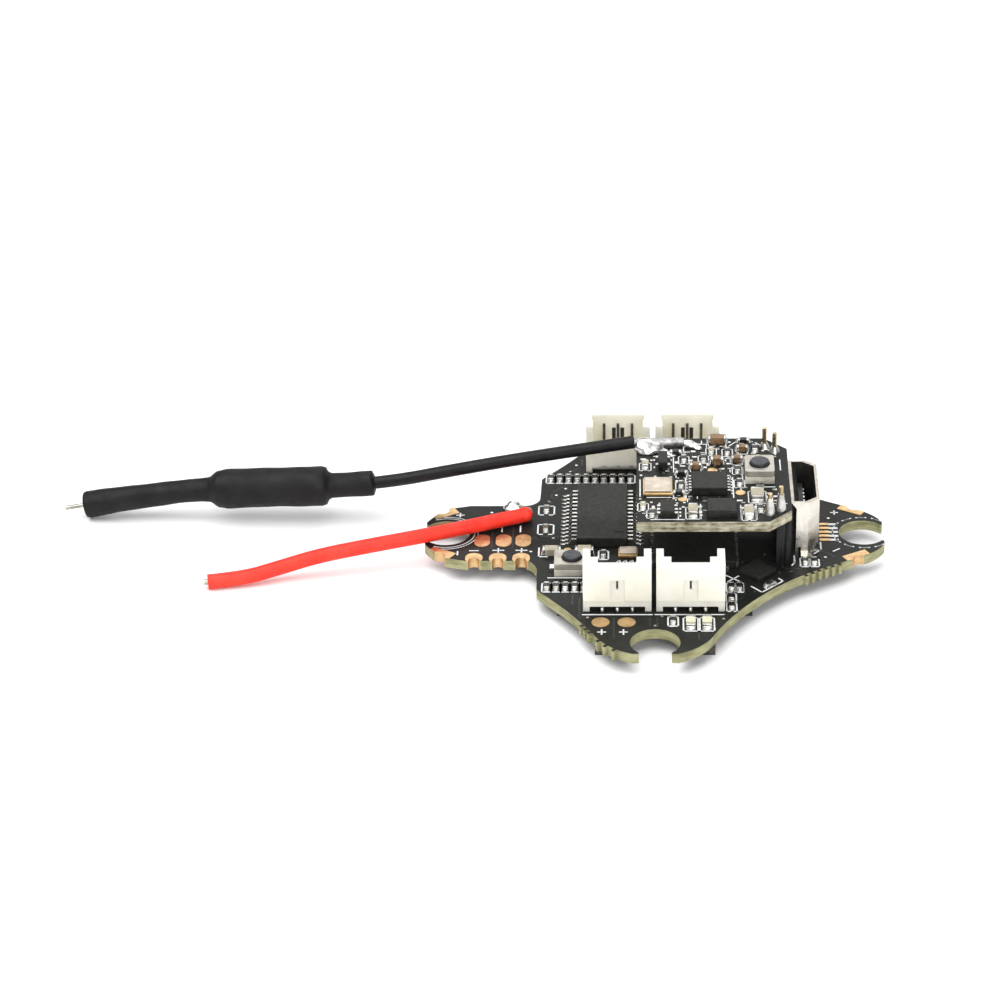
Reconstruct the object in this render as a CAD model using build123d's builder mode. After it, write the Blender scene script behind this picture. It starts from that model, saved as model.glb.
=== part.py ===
from build123d import *
import os
from math import atan2, degrees, pi, radians, sqrt, tan

# Flight controller board for a small ducted quadcopter, with a video transmitter board stacked
# on it, an aerial lead and one loose power wire. Millimetres. The origin is at the middle of
# the main board, on the surface that the parts under the board stand on. +X is to the right,
# +Y to the back, +Z up. Names like *_AT hold the (x, y) places of parts on a board.

# ---- Boards -------------------------------------------------------------------------------
MOUNT_SQUARE = 25.5                    # side of the mounting square, which stands on a corner
MOUNT_RADIUS = MOUNT_SQUARE / sqrt(2)  # from the board's middle to each rubber-mount notch
NOTCH_RADIUS = 2.07
NOTCH_MOUTH = 2.7                      # width of the notch's open side
EAR_REACH = 19.8                       # from the board's middle to the tip of each ear
TIP_HALF = 1.9                         # half width of an ear at its tip
TIP_ROUND = 0.12
TOOTH = (0.3, 0.7)                     # width and length of what is left of the break-off tabs
BOARD_THICK = 0.9
UNDER_HEIGHT = 1.2                     # tallest part under the main board
BOARD_BOTTOM = UNDER_HEIGHT
BOARD_TOP = BOARD_BOTTOM + BOARD_THICK
PLATING = 0.04                         # gold and tin on the pads
HALF_HOLE_RADIUS = 0.55                # plated half holes at the edge for power leads
HALF_HOLES_X = (-15.45, -13.4, -11.4)
POWER_NOTCH_RADIUS = 0.72              # plated notches beside the left and right ears
POWER_NOTCHES_AT = [(-18.6, 3.95), (-18.6, -3.95), (17.6, 4.55), (17.6, -4.55)]
LEFT_EAR_HALF = 4.8                    # half width of the left ear where it is widest

VIDEO_THICK = 0.95
VIDEO_TOP = BOARD_TOP + 5.3
VIDEO_BOTTOM = VIDEO_TOP - VIDEO_THICK
VIDEO_LEFT, VIDEO_RIGHT = -1.5, 11.6
VIDEO_HALF = 7.4                       # half length of the upper board, along Y
VIDEO_CORNER = 1.95                    # cut-off corners on its right

# ---- Connectors ---------------------------------------------------------------------------
PIN_PITCH = 1.25
PIN_SIDE = 0.25
HOUSING = (5.7, 3.0, 4.55)             # width, depth and height of a motor connector
HOUSING_WALL = 0.45
HOUSING_FLOOR = 1.3                    # height of the cavity's floor
HOUSING_LOW_WALL = 2.7                 # height of the wall that faces the board's middle
TAIL_GAP = 0.46                        # height of the gap under the wall, for the solder tails
MOTORS_AT = {                          # name: x, y, turn
    "front_left": (-3.12, -11.75, 0),
    "front_right": (2.97, -11.75, 0),
    "rear_left": (-3.15, 12.35, 180),
    "rear_right": (3.05, 12.35, 180),
}
USB_AT = (12.84, -0.05)
USB_SIZE = (2.42, 7.5, 5.1)
USB_SHEET = 0.25
USB_FLARE, USB_LIP = 0.45, 0.6         # how far the mouth's lip leans out, and over what height
HEADER_X, HEADER_FRONT, HEADER_BACK = (10.35, 11.6), -5.6, 5.0
HEADER_PITCH = 1.27

# ---- Parts on the boards --------------------------------------------------------------------
OSD_AT, OSD_BODY, OSD_SPAN, OSD_PITCH = (-4.47, 2.27), (4.4, 9.7, 0.95), 6.4, 0.65
MCU_AT, MCU_BODY, MCU_PITCH = (3.45, -2.5), (7.0, 7.0, 0.6), 0.5
GYRO_AT, GYRO_SIDE, GYRO_HEIGHT = (8.75, -6.95), 2.25, 0.5
SWITCH_BODY = (3.0, 2.5)
SWITCH_BASE_TOP, SWITCH_TOP, BUTTON_TOP = 0.65, 1.2, 1.5
BUTTON_RADIUS, BUTTON_FLANGE, BUTTON_GAP = 0.82, 1.0, 0.08
BUTTON_TRAVEL = 0.15
BOOT_SWITCH_AT, VIDEO_SWITCH_AT = (-7.0, -6.2), (9.05, 0.65)
R0402, R0603 = (0.5, 1.0, 0.35), (0.8, 1.6, 0.6)     # width, length and height of chip parts
ROW_PITCH = 0.79
ON_BOARD, ON_VIDEO = BOARD_TOP, VIDEO_TOP

# ---- Aerial and wire ------------------------------------------------------------------------
COAX_RADIUS = 0.565
COAX_ROUTE = [
    (-1.72, 5.48, 8.10), (-8.0, 5.64, 7.02), (-16.0, 5.86, 5.48), (-24.3, 6.08, 3.62),
    (-32.5, 6.27, 3.25), (-40.0, 6.45, 2.95), (-45.8, 6.60, 2.14), (-49.4, 6.68, 1.46),
]
CORE_RADIUS = 0.35
TIP_RADIUS, TIP_LENGTH = 0.2, 3.1
WIRE_RADIUS = 0.65
WIRE_ROUTE = [
    (-11.2, 1.90, 2.86), (-15.2, 0.15, 2.84), (-19.8, -1.72, 2.84), (-24.4, -2.88, 2.54),
    (-28.9, -3.68, 1.98), (-32.3, -4.40, 1.20), (-35.3, -5.35, 0.72), (-38.3, -5.80, 0.66),
]
CONDUCTOR_RADIUS = 0.25

BASE = (Align.CENTER, Align.CENTER, Align.MIN)


def stand(at, z, size, turn=0, mode=Mode.ADD):
    """A block that stands on height z, in the open part."""
    with Locations(Location((at[0], at[1], z), (0, 0, turn))):
        Box(*size, align=BASE, mode=mode)


def post(at, z, radius, height, mode=Mode.ADD):
    """A round post that stands on height z, in the open part."""
    with Locations((at[0], at[1], z)):
        Cylinder(radius, height, align=BASE, mode=mode)


def cone(at, z, low, high, height, mode=Mode.ADD):
    """A cone that stands on height z, in the open part."""
    with Locations((at[0], at[1], z)):
        Cone(low, high, height, align=BASE, mode=mode)


def save(part, name):
    part.label = name
    export_step(part, f"parts/{name}.step")
    return part


os.makedirs("parts", exist_ok=True)


# ---- Main board -----------------------------------------------------------------------------
def edge_points(sign):
    """The front (sign -1) or back (sign 1) outline, from the left side to the right ear."""
    return {
        "side": (-9.95, sign * 9.55),
        "slope": (-9.6, sign * 10.1),
        "slope_mid": (-7.42, sign * 12.95),
        "ear_left": (-5.1, sign * 16.7),
        "ear_left_mid": (-3.9, sign * 18.5),
        "tip_left": (-TIP_HALF, sign * EAR_REACH),
        "tip_right": (TIP_HALF, sign * EAR_REACH),
        "ear_right_mid": (3.85, sign * 18.45),
        "ear_right": (4.95, sign * 16.7),
        "curve_mid": (9.45, sign * 10.05),
        "curve_end": (16.25, sign * 4.95),
        "ear_side": (18.35, sign * 3.65),
    }


f, b = edge_points(-1), edge_points(1)
with BuildPart() as board_blank:
    with BuildSketch(Plane.XY.offset(BOARD_BOTTOM)):
        with BuildLine():
            Line((-10.0, 6.2), b["side"])
            Line(b["side"], b["slope"])
            ThreePointArc(b["slope"], b["slope_mid"], b["ear_left"])
            ThreePointArc(b["ear_left"], b["ear_left_mid"], b["tip_left"])
            Line(b["tip_left"], b["tip_right"])
            ThreePointArc(b["tip_right"], b["ear_right_mid"], b["ear_right"])
            ThreePointArc(b["ear_right"], b["curve_mid"], b["curve_end"])
            Line(b["curve_end"], b["ear_side"])
            ThreePointArc(b["ear_side"], (19.3, 2.75), (EAR_REACH, TIP_HALF))
            Line((EAR_REACH, TIP_HALF), (EAR_REACH, -TIP_HALF))
            ThreePointArc((EAR_REACH, -TIP_HALF), (19.3, -2.75), f["ear_side"])
            Line(f["ear_side"], f["curve_end"])
            right_curve = ThreePointArc(f["curve_end"], f["curve_mid"], f["ear_right"])
            ThreePointArc(f["ear_right"], f["ear_right_mid"], f["tip_right"])
            Line(f["tip_right"], f["tip_left"])
            ear_curve = ThreePointArc(f["tip_left"], f["ear_left_mid"], f["ear_left"])
            left_curve = ThreePointArc(f["ear_left"], f["slope_mid"], f["slope"])
            Line(f["slope"], f["side"])
            Line(f["side"], (-10.0, -7.0))
            ThreePointArc((-10.0, -7.0), (-10.2, -5.6), (-10.75, -LEFT_EAR_HALF))
            Line((-10.75, -LEFT_EAR_HALF), (-16.1, -LEFT_EAR_HALF))
            Line((-16.1, -LEFT_EAR_HALF), (-17.9, -4.3))
            ThreePointArc((-17.9, -4.3), (-19.3, -2.75), (-EAR_REACH, -TIP_HALF))
            Line((-EAR_REACH, -TIP_HALF), (-EAR_REACH, TIP_HALF))
            ThreePointArc((-EAR_REACH, TIP_HALF), (-19.3, 2.75), (-17.9, 4.3))
            Line((-17.9, 4.3), (-16.1, LEFT_EAR_HALF))
            Line((-16.1, LEFT_EAR_HALF), (-11.4, LEFT_EAR_HALF))
            ThreePointArc((-11.4, LEFT_EAR_HALF), (-10.4, 5.2), (-10.0, 6.2))
        make_face()
    extrude(amount=BOARD_THICK)

with BuildPart() as main_board:
    add(board_blank.part)
    # remains of the break-off tabs, as short teeth on two edges
    teeth = [(right_curve, 0.04 + 0.042 * k) for k in range(6)]
    teeth += [(ear_curve, 0.35 + 0.2 * k) for k in range(3)]
    teeth += [(left_curve, 0.04 + 0.08 * k) for k in range(3)]
    for curve, u in teeth:
        foot, way = curve @ u, curve % u
        stand(
            (foot.X, foot.Y), BOARD_BOTTOM, (TOOTH[0], TOOTH[1], BOARD_THICK),
            degrees(atan2(way.Y, way.X)),
        )
    # open notches for the rubber mounts
    with PolarLocations(MOUNT_RADIUS, 4):
        Cylinder(NOTCH_RADIUS, 3 * BOARD_TOP, mode=Mode.SUBTRACT)
        with Locations((NOTCH_RADIUS, 0, 0)):
            Box(2 * NOTCH_RADIUS, NOTCH_MOUTH, 3 * BOARD_TOP, mode=Mode.SUBTRACT)
    # plated notches and half holes
    for at in POWER_NOTCHES_AT:
        post(at, 0, POWER_NOTCH_RADIUS, BOARD_TOP + 1, Mode.SUBTRACT)
    for x in HALF_HOLES_X:
        post((x, -LEFT_EAR_HALF), 0, HALF_HOLE_RADIUS, BOARD_TOP + 1, Mode.SUBTRACT)
    # the tips of the ears are rounded off
    tips = [
        edge for edge in main_board.edges().filter_by(Axis.Z)
        if max(abs(edge.center().X), abs(edge.center().Y)) > EAR_REACH - 0.15
        and min(abs(edge.center().X), abs(edge.center().Y)) < NOTCH_MOUTH / 2 + 0.1
    ]
    fillet(tips, TIP_ROUND)
save(main_board.part, "main_board")

with BuildPart() as board_pads:
    # three long pads, round-ended pads for the half holes and two round pads on the front ear
    with BuildSketch(Plane.XY.offset(BOARD_TOP)):
        with Locations((-14.85, -1.35), (-13.0, -1.35), (-11.3, -1.35)):
            SlotOverall(2.1, 1.35, rotation=90)
        with Locations((-4.5, -14.9), (-2.35, -14.9)):
            Circle(0.75)
        with Locations((-7.45, -2.9)):
            Circle(0.3)
        with Locations(*[(14.7, y) for y in (-1.25, -0.58, 0.09, 0.76, 1.43)]):
            Rectangle(0.9, 0.36)
        with Locations(*[(x, -LEFT_EAR_HALF + 0.45) for x in HALF_HOLES_X]):
            SlotOverall(1.7, 1.5, rotation=90)
        with Locations(*[(x, -LEFT_EAR_HALF - 0.5) for x in HALF_HOLES_X]):
            Rectangle(1.7, 1.0, mode=Mode.SUBTRACT)
        with Locations(*[(x, -LEFT_EAR_HALF) for x in HALF_HOLES_X]):
            Circle(HALF_HOLE_RADIUS, mode=Mode.SUBTRACT)
    extrude(amount=PLATING)
    # linings of the half holes
    for x in HALF_HOLES_X:
        post((x, -LEFT_EAR_HALF), BOARD_BOTTOM, HALF_HOLE_RADIUS, BOARD_THICK + PLATING)
        post((x, -LEFT_EAR_HALF), BOARD_BOTTOM, HALF_HOLE_RADIUS - 0.06, BOARD_TOP, Mode.SUBTRACT)
        stand((x, -LEFT_EAR_HALF - 0.5), BOARD_BOTTOM, (1.2, 1.0, BOARD_TOP), 0, Mode.SUBTRACT)
save(board_pads.part, "board_pads")

with BuildPart() as notch_linings:
    for at in POWER_NOTCHES_AT:
        post(at, BOARD_BOTTOM, POWER_NOTCH_RADIUS, BOARD_THICK + PLATING)
        post(at, BOARD_BOTTOM, POWER_NOTCH_RADIUS - 0.06, BOARD_TOP, Mode.SUBTRACT)
    add(board_blank.part + board_blank.part.moved(Location((0, 0, PLATING))), mode=Mode.INTERSECT)
with BuildPart() as power_pads:
    # squarish pads round the plated notches, kept to the board's outline, with their linings
    for at, turn in zip(POWER_NOTCHES_AT, (30, -30, -30, 30)):
        stand(at, BOARD_TOP, (2.3, 2.3, PLATING), turn)
    add(main_board.part.moved(Location((0, 0, BOARD_THICK))), mode=Mode.INTERSECT)
    add(notch_linings.part)
save(power_pads.part, "power_pads")


# ---- Chip parts -----------------------------------------------------------------------------
def chip_middles(parts, cap):
    """The bodies of chip parts, between their end caps. Each part is (x, y), z, size, turn."""
    with BuildPart() as middles:
        for at, z, size, turn in parts:
            stand(at, z, (size[0], size[1] - 2 * cap, size[2]), turn)
    return middles.part


def chip_ends(parts, cap):
    """The end caps of the same parts."""
    with BuildPart() as ends:
        for (x, y), z, size, turn in parts:
            for side in (-1, 1):
                with Locations(Location((x, y, z), (0, 0, turn))):
                    with Locations((0, side * (size[1] - cap) / 2)):
                        Box(size[0], cap, size[2], align=BASE)
    return ends.part


resistors = [((-9.15 + ROW_PITCH * k, 9.6), ON_BOARD, R0402, 0) for k in range(10)]
resistors += [((-9.1 + ROW_PITCH * k, -9.25), ON_BOARD, R0402, 0) for k in range(5)]
resistors += [
    (at, ON_BOARD, R0402, 0)
    for at in [
        (-4.35, -3.85), (1.5, -14.75), (6.45, -9.3), (7.12, -9.3), (6.4, -11.0), (6.4, -12.4),
        (12.85, -5.1), (13.6, -5.1),
    ]
]
resistors += [
    (at, ON_VIDEO, R0402, turn)
    for at, turn in [
        ((2.3, -1.2), 0), ((2.35, 0.9), 90), ((2.6, 3.4), 0), ((4.3, 3.5), 0), ((7.3, -0.85), 0),
        ((7.2, 1.5), 0), ((6.4, 4.7), 0), ((8.8, 5.3), 0), ((7.85, 6.75), 90), ((2.1, -2.6), 90),
        ((8.95, -5.3), 0), ((-0.2, -6.1), 0), ((1.9, 4.6), 90),
    ]
]
capacitors = [
    ((-9.4, 3.95), ON_BOARD, R0402, 0), ((-9.4, 0.6), ON_BOARD, R0402, 0),
    ((-8.8, -3.55), ON_BOARD, R0603, 90), ((-6.0, -3.5), ON_BOARD, R0603, 90),
    ((9.7, -8.95), ON_BOARD, R0402, -50),
    ((5.55, 6.75), ON_VIDEO, R0603, 90), ((7.7, 5.2), ON_VIDEO, (0.6, 1.0, 0.5), 90),
    ((7.2, 3.25), ON_VIDEO, (0.6, 1.0, 0.5), 90), ((5.45, 2.9), ON_VIDEO, (0.7, 1.1, 0.6), 90),
    ((3.6, 2.0), ON_VIDEO, (0.6, 1.0, 0.5), 90), ((5.0, 4.85), ON_VIDEO, R0402, 0),
    ((3.25, -5.95), ON_VIDEO, R0603, 0), ((7.95, -6.2), ON_VIDEO, R0603, 0),
    ((-0.95, -4.9), ON_VIDEO, R0402, 0), ((-0.75, 2.2), ON_VIDEO, (0.6, 1.0, 0.5), 0),
    ((8.75, -3.2), ON_VIDEO, (1.1, 1.7, 0.6), 0),
]
END_CAP = 0.24
save(chip_middles(resistors, END_CAP), "resistor_bodies")
save(chip_ends(resistors, END_CAP), "resistor_ends")
save(chip_middles(capacitors, END_CAP), "capacitor_bodies")
save(chip_ends(capacitors, END_CAP), "capacitor_ends")

LED_SIZE = (0.8, 1.6, 0.5)
leds = [((x, -15.2), ON_BOARD, LED_SIZE, 0) for x in (2.95, 4.3)]
save(chip_middles(leds, 0.4), "led_lenses")
save(chip_ends(leds, 0.4), "led_ends")

# large capacitors under the ears of the board, which it stands on
POWER_CAP = (1.25, 2.0, UNDER_HEIGHT)
power_caps = [((4.35 * sx, 15.6 * sy), 0, POWER_CAP, 0) for sx in (-1, 1) for sy in (-1, 1)]
save(chip_middles(power_caps, 0.4), "power_capacitor_bodies")
save(chip_ends(power_caps, 0.4), "power_capacitor_ends")


# ---- Chips ----------------------------------------------------------------------------------
def lead(depth, reach, rise):
    """The side view of one gull-wing lead: it leaves the body at height rise and ends reach out."""
    knee = 0.35 * reach
    return [
        (0, rise), (knee, rise), (0.75 * reach - depth, 0), (reach, 0), (reach, depth),
        (0.75 * reach, depth), (knee + depth, rise + depth), (0, rise + depth),
    ]


def gull_wings(at, z, body, span, rows, pitch, rise, width, depth=0.1):
    """Leads along the two long sides of a chip, which lie along Y."""
    reach = (span - body[0]) / 2
    outline = lead(depth, reach, rise)
    with BuildPart() as wings:
        for side in (-1, 1):
            for k in range(rows):
                y = at[1] + (k - (rows - 1) / 2) * pitch
                start = Plane(
                    origin=(at[0] + side * body[0] / 2, y, z), x_dir=(side, 0, 0), z_dir=(0, -side, 0)
                )
                with BuildSketch(start):
                    with BuildLine():
                        Polyline(*outline, close=True)
                    make_face()
                extrude(amount=width / 2, both=True)
    return wings.part


STANDOFF = 0.08                        # gap under a chip that stands on its leads
with BuildPart() as osd_chip:
    stand(OSD_AT, ON_BOARD + STANDOFF, (OSD_BODY[0], OSD_BODY[1], OSD_BODY[2] / 2))
    stand(OSD_AT, ON_BOARD + STANDOFF + OSD_BODY[2] / 2, (OSD_BODY[0], OSD_BODY[1], OSD_BODY[2] / 2))
    chamfer(osd_chip.faces().sort_by(Axis.Z)[-1].edges(), 0.08)
    post((OSD_AT[0] + 1.5, OSD_AT[1] - 4.1), ON_BOARD + STANDOFF + OSD_BODY[2] - 0.05, 0.38, 1, Mode.SUBTRACT)
save(osd_chip.part, "osd_chip")
save(gull_wings(OSD_AT, ON_BOARD, OSD_BODY, OSD_SPAN, 14, OSD_PITCH, 0.45, 0.24), "osd_leads")

with BuildPart() as mcu_chip:
    stand(MCU_AT, ON_BOARD + 0.02, MCU_BODY)
    chamfer(mcu_chip.faces().sort_by(Axis.Z)[-1].edges(), 0.06)
save(mcu_chip.part, "mcu_chip")
with BuildPart() as mcu_leads:
    for k in range(12):
        run = (k - 5.5) * MCU_PITCH
        out = MCU_BODY[0] / 2 + 0.12
        for x, y in ((run, out), (run, -out)):
            stand((MCU_AT[0] + x, MCU_AT[1] + y), ON_BOARD, (0.24, 0.24, 0.2))
            stand((MCU_AT[0] + y, MCU_AT[1] + x), ON_BOARD, (0.24, 0.24, 0.2))
save(mcu_leads.part, "mcu_leads")

with BuildPart() as gyro_chip:
    stand(GYRO_AT, ON_BOARD, (GYRO_SIDE, GYRO_SIDE, GYRO_HEIGHT), 45)
save(gyro_chip.part, "gyro_chip")

# under the main board: four speed controllers with two power transistors for each
MOSFET, ESC_CHIP = (3.0, 3.0, 0.9), (3.0, 3.0, 0.8)
with BuildPart() as power_transistors:
    for sx in (-1, 1):
        for sy in (-1, 1):
            stand((6.7 * sx, 9.4 * sy), BOARD_BOTTOM - MOSFET[2], MOSFET)
            stand((3.2 * sx, 12.6 * sy), BOARD_BOTTOM - MOSFET[2], MOSFET)
save(power_transistors.part, "power_transistors")
with BuildPart() as speed_controllers:
    for sx in (-1, 1):
        for sy in (-1, 1):
            stand((3.2 * sx, 6.0 * sy), BOARD_BOTTOM - ESC_CHIP[2], ESC_CHIP)
save(speed_controllers.part, "speed_controller_chips")

VIDEO_CHIP_AT, VIDEO_CHIP = (4.72, -1.4), (3.05, 3.0, 0.7)
RF_CHIP_AT, RF_CHIP = (5.7, -5.65), (2.55, 2.3, 0.72)
DRIVER_AT, DRIVER = (1.1, -5.9), (1.2, 1.95, 0.7)
REGULATOR_AT, REGULATOR = (0.78, 2.65), (0.8, 2.1, 0.72)
with BuildPart() as video_chip:
    stand(VIDEO_CHIP_AT, ON_VIDEO + STANDOFF, VIDEO_CHIP)
    chamfer(video_chip.faces().sort_by(Axis.Z)[-1].edges(), 0.06)
save(video_chip.part, "video_chip")
save(gull_wings(VIDEO_CHIP_AT, ON_VIDEO, VIDEO_CHIP, 3.95, 6, 0.5, 0.35, 0.2, 0.08), "video_chip_leads")
with BuildPart() as rf_chip:
    stand(RF_CHIP_AT, ON_VIDEO, RF_CHIP)
    chamfer(rf_chip.faces().sort_by(Axis.Z)[-1].edges(), 0.05)
save(rf_chip.part, "rf_amplifier")
with BuildPart() as drivers:
    stand(DRIVER_AT, ON_VIDEO + STANDOFF, DRIVER)
    stand(REGULATOR_AT, ON_VIDEO + STANDOFF, REGULATOR)
save(drivers.part, "small_chips")
with BuildPart() as driver_leads:
    add(gull_wings(DRIVER_AT, ON_VIDEO, DRIVER, 2.3, 3, 0.6, 0.35, 0.26, 0.08))
    add(gull_wings(REGULATOR_AT, ON_VIDEO, REGULATOR, 1.6, 2, 1.3, 0.35, 0.3, 0.08))
save(driver_leads.part, "small_chip_leads")

# quartz crystals: a ceramic tray with a metal lid
CRYSTALS = [((-2.25, -3.7), ON_BOARD, (1.65, 1.3)), ((0.3, -1.65), ON_VIDEO, (2.5, 2.65))]
TRAY_HEIGHT, LID_HEIGHT, LID_INSET = 0.28, 0.2, 0.1
with BuildPart() as crystal_trays:
    for at, z, (w, l) in CRYSTALS:
        stand(at, z, (w, l, TRAY_HEIGHT))
save(crystal_trays.part, "crystal_trays")
with BuildPart() as crystal_lids:
    for at, z, (w, l) in CRYSTALS:
        stand(at, z + TRAY_HEIGHT, (w - 2 * LID_INSET, l - 2 * LID_INSET, LID_HEIGHT))
save(crystal_lids.part, "crystal_lids")


# ---- Push buttons ---------------------------------------------------------------------------
def switch_base(at, z, turn):
    width, depth = SWITCH_BODY
    with BuildPart() as base:
        stand(at, z, (width, depth, SWITCH_BASE_TOP), turn)
        post(at, z + 0.25, BUTTON_FLANGE + BUTTON_GAP, 1, Mode.SUBTRACT)
    return base.part


def switch_cover(at, z, turn):
    """Pressed steel cover with a round hole for the button."""
    width, depth = SWITCH_BODY
    sheet = 0.15
    with BuildPart() as cover:
        stand(at, z + SWITCH_BASE_TOP, (width, depth, SWITCH_TOP - SWITCH_BASE_TOP), turn)
        fillet(cover.edges().filter_by(Axis.Z), 0.25)
        inner = (width - 2 * sheet, depth - 2 * sheet, SWITCH_TOP - SWITCH_BASE_TOP - sheet)
        stand(at, z + SWITCH_BASE_TOP, inner, turn, Mode.SUBTRACT)
        post(at, z + SWITCH_BASE_TOP, BUTTON_RADIUS + BUTTON_GAP, 1, Mode.SUBTRACT)
    return cover.part


def switch_dome(at, z):
    """Sprung metal disc that clicks under the button."""
    rim, rise, sheet = 0.95, 0.2, 0.06
    with BuildPart() as dome:
        with BuildSketch(Plane.XZ):
            with BuildLine():
                Polyline(
                    (0, rise), (rim / 2, 0.8 * rise), (rim, 0), (rim, sheet),
                    (rim / 2, 0.8 * rise + sheet), (0, rise + sheet), close=True,
                )
            make_face()
        revolve(axis=Axis.Z)
    return dome.part.moved(Location((at[0], at[1], z + 0.25)))


def switch_button(at, z):
    flange_low, flange_high = 0.70, 0.98
    with BuildPart() as button:
        post(at, z + flange_low, BUTTON_FLANGE, flange_high - flange_low)
        post(at, z + flange_high, BUTTON_RADIUS, BUTTON_TOP - flange_high)
        fillet(button.faces().sort_by(Axis.Z)[-1].edges(), 0.12)
    return button.part


for name, at, z, turn in (
    ("boot", BOOT_SWITCH_AT, ON_BOARD, 0),
    ("video", VIDEO_SWITCH_AT, ON_VIDEO, 90),
):
    save(switch_base(at, z, turn), f"{name}_switch_base")
    save(switch_cover(at, z, turn), f"{name}_switch_cover")
    save(switch_dome(at, z), f"{name}_switch_dome")
    save(switch_button(at, z), f"{name}_button")

with BuildPart() as switch_tabs:
    for at, z, turn in ((BOOT_SWITCH_AT, ON_BOARD, 0), (VIDEO_SWITCH_AT, ON_VIDEO, 90)):
        for side in (-1, 1):
            with Locations(Location((at[0], at[1], z), (0, 0, turn))):
                with Locations((side * (SWITCH_BODY[0] / 2 + 0.2), 0)):
                    Box(0.4, 0.7, 0.3, align=BASE)
save(switch_tabs.part, "switch_tabs")


# ---- Motor connectors -----------------------------------------------------------------------
def motor_housing(x, y, turn):
    """Three-way upright connector. In its own frame the tail side faces -Y."""
    width, depth, height = HOUSING
    outer, inner = -depth / 2, depth / 2
    thick_in = 1.6 if turn == 0 else 2.32
    thin_in, step_y, side_end = 2.22, -0.1, 1.25
    tails = 2.3                        # half width of the gap for the tails
    place = Plane(origin=(x, y, BOARD_TOP), x_dir=(1, 0, 0) if turn == 0 else (-1, 0, 0))
    with BuildPart(place) as housing:
        Box(width, depth, height, align=BASE)

        def cut(x0, x1, y0, y1, z0, z1):
            with Locations(((x0 + x1) / 2, (y0 + y1) / 2, z0)):
                Box(x1 - x0, y1 - y0, z1 - z0, align=BASE, mode=Mode.SUBTRACT)

        wall_in, low_in = outer + HOUSING_WALL, inner - HOUSING_WALL
        cut(-thick_in, thick_in, wall_in, step_y, HOUSING_FLOOR, height)
        cut(-thin_in, thin_in, step_y, low_in, HOUSING_FLOOR, height)
        cut(-thin_in, thin_in, low_in, inner, HOUSING_LOW_WALL, height)
        cut(-width / 2, width / 2, side_end, inner, HOUSING_LOW_WALL, height)
        # set-back foot of the outer wall, gaps for the tails and the latch window
        cut(-width / 2, width / 2, outer, outer + 0.08, 0, 1.02)
        cut(-tails, tails, outer, outer + 0.9, 0, TAIL_GAP)
        cut(-tails, tails, inner - 0.6, inner, 0, TAIL_GAP)
        cut(-0.6, 0.6, outer, outer + 0.12, 1.02, 3.05)
        cut(-0.09, 0.09, outer, wall_in, 2.05, 2.95)
        for side in (-1, 1):
            cut(side * 0.375 - 0.175, side * 0.375 + 0.175, wall_in - 0.15, wall_in, 2.0, 3.2)
        for k in (-1, 0, 1):
            pin = k * PIN_PITCH
            with Locations(Location((pin, inner - 0.3, TAIL_GAP), (0, 45, 0))):
                Box(0.42, 0.6, 0.42, mode=Mode.SUBTRACT)
            cut(pin - PIN_SIDE / 2, pin + PIN_SIDE / 2, outer + 0.65, outer + 0.65 + PIN_SIDE, 0, height)
    return housing.part


def motor_pins(x, y, turn):
    """Three bent pins: a blade in the cavity and a tail soldered to the board."""
    outer = -HOUSING[1] / 2
    place = Plane(origin=(x, y, BOARD_TOP), x_dir=(1, 0, 0) if turn == 0 else (-1, 0, 0))
    with BuildPart(place) as pins:
        for k in (-1, 0, 1):
            with Locations((k * PIN_PITCH, outer + 0.65 + PIN_SIDE / 2, 0)):
                Box(PIN_SIDE, PIN_SIDE, 3.75, align=BASE)
            with Locations((k * PIN_PITCH, outer + 0.3, 0)):
                Box(PIN_SIDE, 0.9, 0.2, align=BASE)
    return pins.part


for name, (x, y, turn) in MOTORS_AT.items():
    save(motor_housing(x, y, turn), f"motor_connector_{name}")
    save(motor_pins(x, y, turn), f"motor_pins_{name}")


# ---- USB socket and board-to-board header ---------------------------------------------------
def usb_outline(grow, flare=0):
    """The socket's outline, grown by a margin: one long side has cut-off corners, the other can flare."""
    width, length, _ = USB_SIZE
    x0, x1, y1 = -width / 2 - grow + USB_FLARE - flare, width / 2 + grow, length / 2 + grow
    corner = (0.95, 0.75)
    return [
        (x0, -y1), (x1 - corner[0], -y1), (x1, -y1 + corner[1]), (x1, y1 - corner[1]),
        (x1 - corner[0], y1), (x0, y1),
    ]


def usb_layer(height, grow, flare=0):
    with BuildSketch(Plane(origin=(USB_AT[0], USB_AT[1], BOARD_TOP + height))) as layer:
        with BuildLine():
            Polyline(*usb_outline(grow, flare), close=True)
        make_face()
    return layer.sketch


low_lip = USB_SIZE[2] - USB_LIP
with BuildPart() as usb_shell:
    extrude(usb_layer(0, 0), amount=low_lip)
    loft([usb_layer(low_lip, 0), usb_layer(USB_SIZE[2], 0, USB_FLARE)])
    extrude(usb_layer(0, -USB_SHEET), amount=low_lip, mode=Mode.SUBTRACT)
    loft(
        [usb_layer(low_lip, -USB_SHEET), usb_layer(USB_SIZE[2], -USB_SHEET, USB_FLARE)],
        mode=Mode.SUBTRACT,
    )
    # openings at the foot of the two narrow sides, and the soldered feet
    for side in (-1, 1):
        y = USB_AT[1] + side * USB_SIZE[1] / 2
        for edge in (-0.6, 0.95):
            stand((USB_AT[0] + edge, y), BOARD_TOP, (0.55, 1.0, 0.75), 0, Mode.SUBTRACT)
        stand((USB_AT[0] + 0.15, y + side * 0.2), BOARD_TOP, (0.9, 0.6, 0.15))
save(usb_shell.part, "usb_shell")

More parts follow.
